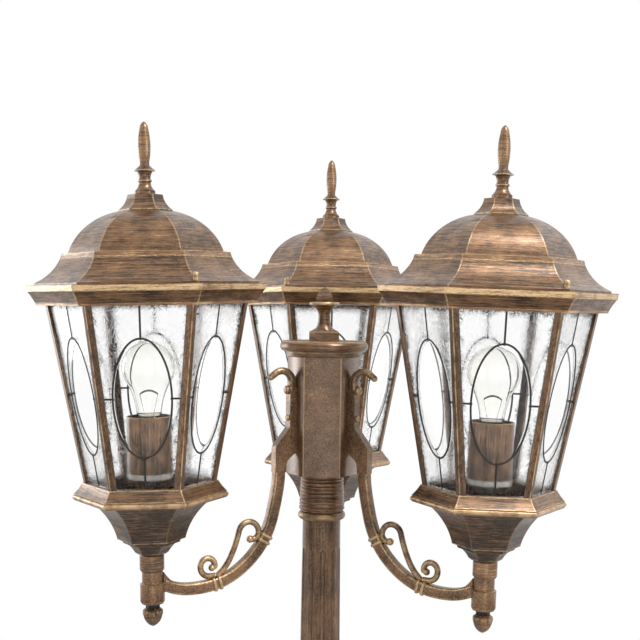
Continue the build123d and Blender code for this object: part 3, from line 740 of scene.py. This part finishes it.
iceGlass = paneGlass("iceGlass")
bulbGlass = clearGlass("bulbGlass", rgb(255, 255, 250), 1.33)
wire = plainMetal("supportWire", rgb(136, 130, 104), 0.35)
leading = plainMetal("leading", rgb(66, 63, 60), 0.45, 0.7, 500.0)

cames = {
    "halfWidth": pane["ovalHalfWidth"],
    "halfHeight": pane["ovalHalfHeight"],
    "paneHeight": pane["height"],
    "footHalf": pane["footHalf"] - 0.0002,
    "headHalf": pane["headHalf"] - 0.0002,
    "leadWidth": 0.0022,
    "leadHeight": 0.0012,
    "jointWidth": 0.0036,
    "proud": 0.00065,  # how far the middle of the leads stands off the glass
    "footGap": 0.0006,
    "headGap": 0.0008,
    "panes": pane["count"],
}


def makeCames(side, material):
    # an oval and four struts on each pane, soldered where they meet
    tree = Shaper(side + "CameTree", cames)
    middle, head = tree.size("paneHeight") * 0.5, tree.size("paneHeight") - tree.size("headGap")
    halfWidth, halfHeight = tree.size("halfWidth"), tree.size("halfHeight")
    halfPane = (tree.size("footHalf") + tree.size("headHalf")) * 0.5
    oval = tree.node("GeometryNodeCurvePrimitiveCircle", Resolution=72, Radius=1.0).outputs[0]
    oval = tree.moved(oval, Scale=tree.vector(halfWidth, halfHeight, 1.0), Translation=tree.vector(0.0, middle))
    ends = [
        (tree.vector(0.0, tree.size("footGap")), tree.vector(0.0, middle - halfHeight)),
        (tree.vector(0.0, middle + halfHeight), tree.vector(0.0, head)),
        (tree.vector(-halfPane, middle), tree.vector(-halfWidth, middle)),
        (tree.vector(halfWidth, middle), tree.vector(halfPane, middle)),
    ]
    struts = [tree.node("GeometryNodeCurvePrimitiveLine", Start=a, End=b).outputs[0] for a, b in ends]
    leadRadius, jointRadius = tree.size("leadWidth") * 0.5, tree.size("jointWidth") * 0.5
    lead = tree.node("GeometryNodeCurvePrimitiveCircle", Resolution=10, Radius=leadRadius).outputs[0]
    web = tree.node(
        "GeometryNodeCurveToMesh", Curve=tree.joined(oval, *struts), Profile_Curve=lead, Fill_Caps=True
    ).outputs[0]
    blob = tree.node("GeometryNodeMeshUVSphere", Segments=14, Rings=8, Radius=jointRadius).outputs[0]
    joints = ((0.0, middle - halfHeight), (0.0, middle + halfHeight), (-halfWidth, middle), (halfWidth, middle))
    blobs = [tree.moved(blob, Translation=tree.vector(x, y)) for x, y in joints]
    flatten = tree.size("leadHeight") / tree.size("leadWidth")
    window = tree.moved(tree.joined(web, *blobs), Scale=tree.vector(1.0, 1.0, flatten))
    slope = math.atan(pane["slope"])
    back = pane["footRadius"] * flat - pane["setBack"] + cames["proud"] * math.cos(slope)
    window = tree.moved(window, Translation=(0, -back, pane["foot"]), Rotation=(math.pi / 2 + slope, 0, 0))
    spots = tree.node("GeometryNodePoints", Count=tree.size("panes")).outputs[0]
    turn = Value(tree.tree, tree.node("GeometryNodeInputIndex").outputs[0]) * (2 * math.pi) / tree.size("panes")
    turned = tree.vector(0.0, 0.0, turn)
    spin = tree.node("GeometryNodeInstanceOnPoints", Points=spots, Instance=window, Rotation=turned).outputs[0]
    piece = tree.bake(side + "Cames", tree.smooth(spin), material, lanternMatrix(side))
    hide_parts(side + "_cames")
    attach(piece, "post")


filament = {
    "foot": 0.2235,  # where the wires leave the glass stem, above the lantern's foot
    "pinch": 0.18,  # how close together they leave it, as a share of the span
    "span": 0.0100,
    "rise": 0.0385,
    "archRise": 0.0040,
    "wire": 0.00032,
    "coil": 0.00085,
    "turns": 46,
}


def makeFilament(side, material):
    # two lead wires and a coiled wire arched between them
    tree = Shaper(side + "FilamentTree", filament)
    foot, span, rise = tree.size("foot"), tree.size("span"), tree.size("rise")
    leads = []
    for hand in (-1.0, 1.0):
        start = tree.vector(span * tree.size("pinch") * hand, 0.0, foot)
        end = tree.vector(span * hand, 0.0, foot + rise)
        leads.append(tree.node("GeometryNodeCurvePrimitiveLine", Start=start, End=end).outputs[0])
    radius = {"Start_Radius": tree.size("coil"), "End_Radius": tree.size("coil")}
    coil = tree.node(
        "GeometryNodeCurveSpiral", Resolution=14, Rotations=tree.size("turns"), Height=span * 2, **radius
    ).outputs[0]
    coil = tree.moved(coil, Rotation=(0, math.pi / 2, 0), Translation=tree.vector(-span, 0.0, foot + rise))
    at = tree.node("ShaderNodeSeparateXYZ", Vector=tree.node("GeometryNodeInputPosition").outputs[0])
    across = Value(tree.tree, at.outputs[0]) / span
    lift = (1 - across * across) * tree.size("archRise")
    coil = tree.node("GeometryNodeSetPosition", Geometry=coil, Offset=tree.vector(0.0, 0.0, lift)).outputs[0]
    section = tree.node("GeometryNodeCurvePrimitiveCircle", Resolution=6, Radius=tree.size("wire")).outputs[0]
    shape = tree.node(
        "GeometryNodeCurveToMesh", Curve=tree.joined(coil, *leads), Profile_Curve=section, Fill_Caps=True
    ).outputs[0]
    piece = tree.bake(side + "Filament", tree.smooth(shape), material, lanternMatrix(side))
    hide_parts(side + "_filament")
    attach(piece, "post")


stem = {
    "foot": 0.2084,
    "steps": 28,
    # radius and height above the foot
    "profile": [(0.0086, 0.0), (0.0048, 0.0035), (0.0032, 0.0090), (0.0028, 0.0140), (0.0012, 0.0158)],
}


def makeStem(side, material):
    # the glass mount inside the bulb that carries the wires
    mesh = bmesh.new()
    turns = [2 * math.pi * k / stem["steps"] for k in range(stem["steps"])]
    rings = []
    for radius, height in stem["profile"]:
        places = [(radius * math.cos(turn), radius * math.sin(turn), stem["foot"] + height) for turn in turns]
        rings.append([mesh.verts.new(place) for place in places])
    for low, high in zip(rings, rings[1:]):
        for k in range(stem["steps"]):
            mesh.faces.new((low[k - 1], low[k], high[k], high[k - 1]))
    mesh.faces.new(reversed(rings[0]))
    mesh.faces.new(rings[-1])
    for face in mesh.faces:
        face.smooth = True
    mesh.transform(lanternMatrix(side))
    data = bpy.data.meshes.new(side + "Stem")
    mesh.to_mesh(data)
    mesh.free()
    piece = addPiece(side + "Stem", data, material)
    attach(piece, "post")


for side in sides:
    makePanes(side, iceGlass)
    makeCames(side, leading)
    dress(side + "_bulb_glass", bulbGlass, 60, 0.0)
    makeFilament(side, wire)
    makeStem(side, bulbGlass)
print("lanterns glazed")
